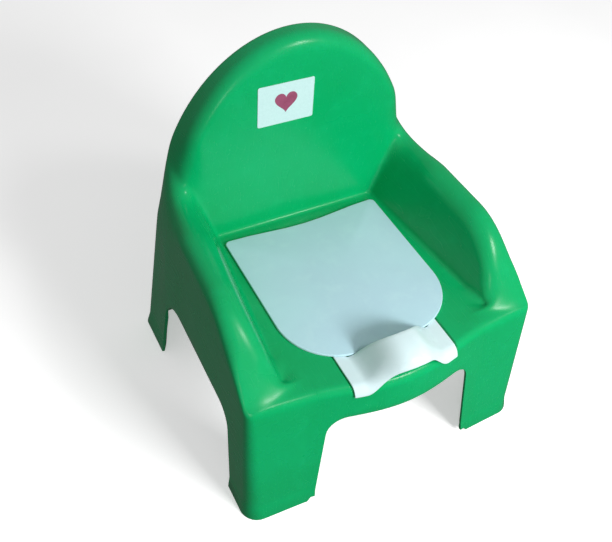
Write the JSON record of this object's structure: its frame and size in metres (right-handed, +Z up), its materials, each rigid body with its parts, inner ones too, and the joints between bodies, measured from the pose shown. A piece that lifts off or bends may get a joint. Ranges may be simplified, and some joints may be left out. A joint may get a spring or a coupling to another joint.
{
  "type": "potty training chair",
  "caption": "Low moulded child's chair with arms and an arched back, a lift-out bowl with a splash guard, and a flat lid over the seat opening.",
  "frame": {"origin": "middle of the footprint, on the floor under the feet", "axes": "+Z up, -Y the front where the child's legs hang, +X to the right as seen from the front"},
  "size_m": [0.3338, 0.2988, 0.365],
  "materials": {
    "green_plastic": "glossy injection-moulded polypropylene, mid green",
    "white_plastic": "glossy injection-moulded polypropylene, cool white",
    "grey_plastic": "satin moulded plastic, pale blue-grey",
    "label_film": "printed vinyl sticker, white with a raspberry device"
  },
  "bodies": {
    "chair": {"chair_shell": "green_plastic", "back_label": "label_film"},
    "bowl": {"potty_bowl": "white_plastic"},
    "lid": {"potty_lid": "grey_plastic"}
  },
  "joints": [
    {"name": "bowl_lift", "type": "slide", "parent": "chair", "child": "bowl", "axis": [0, 0, 1], "range_m": [0, 0.16]},
    {"name": "lid_lift", "type": "slide", "parent": "bowl", "child": "lid", "axis": [0, 0, 1], "range_m": [0, 0.08]}
  ]
}
